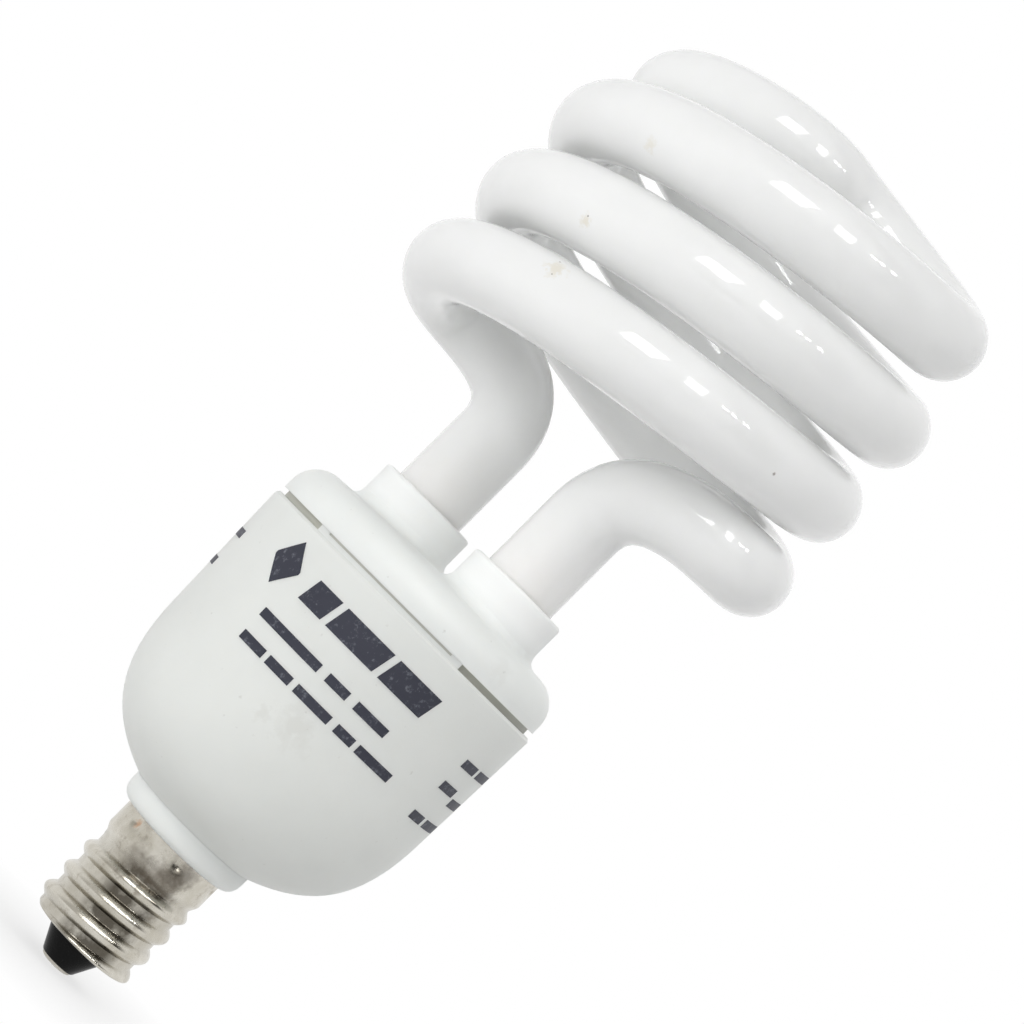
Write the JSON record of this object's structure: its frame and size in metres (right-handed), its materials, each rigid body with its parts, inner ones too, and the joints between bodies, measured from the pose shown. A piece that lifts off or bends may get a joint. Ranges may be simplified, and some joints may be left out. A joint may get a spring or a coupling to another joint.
{
  "type": "grow light bulb",
  "caption": "Compact spiral lamp: a double spiral of white glass tube on a rounded plastic ballast housing with a small candelabra screw cap.",
  "frame": {"origin": "outer face of the centre contact, on the lamp's axis", "axes": "+Z along the lamp's axis from the screw cap to the top of the spiral; +X through the start of the spiral's first strand"},
  "size_m": [0.0474, 0.047, 0.1044],
  "materials": {
    "coated_glass": "glossy glass, white phosphor inside",
    "white_plastic": "satin",
    "housing_plastic": "satin",
    "nickel": "nickel plate, lightly worn",
    "black_insulator": "glossy vitreous",
    "cement": "matt",
    "solder": "satin tin",
    "board_laminate": "paper laminate",
    "ferrite": "sintered",
    "black_plastic": "moulded",
    "copper": "enamelled wire",
    "can_sleeve": "shrink sleeve",
    "film_epoxy": "dipped",
    "disc_ceramic": "lacquered ceramic",
    "diac_glass": "lacquered glass",
    "sleeve_white": "woven sleeve",
    "wire_red": "insulated wire",
    "wire_black": "insulated wire"
  },
  "bodies": {
    "root": {"ballast_board": "board_laminate", "ballast_housing": "housing_plastic", "base_insulator": "black_insulator", "base_neck": "white_plastic", "cathode_leads": "solder", "centre_contact": "nickel", "chip_resistors": "black_plastic", "choke_bobbin": "black_plastic", "choke_core_lower": "ferrite", "choke_core_upper": "ferrite", "choke_winding": "copper", "contact_solder": "solder", "coupling_capacitor": "film_epoxy", "diac": "diac_glass", "drive_core": "ferrite", "drive_windings": "copper", "fusible_resistor": "disc_ceramic", "line_choke_core": "ferrite", "line_choke_winding": "copper", "live_wire": "wire_red", "neutral_wire": "wire_black", "rectifier_diodes": "black_plastic", "resistor_sleeve": "sleeve_white", "resonant_capacitor": "film_epoxy", "screw_shell": "nickel", "smoothing_capacitor_1": "can_sleeve", "smoothing_capacitor_2": "can_sleeve", "snubber_capacitor": "disc_ceramic", "solder_joints": "solder", "spiral_tube": "coated_glass", "thermistor": "disc_ceramic", "transistor_1": "black_plastic", "transistor_2": "black_plastic", "tube_cement": "cement", "tube_cover": "white_plastic", "wrap_pins": "solder"}
  },
  "joints": []
}
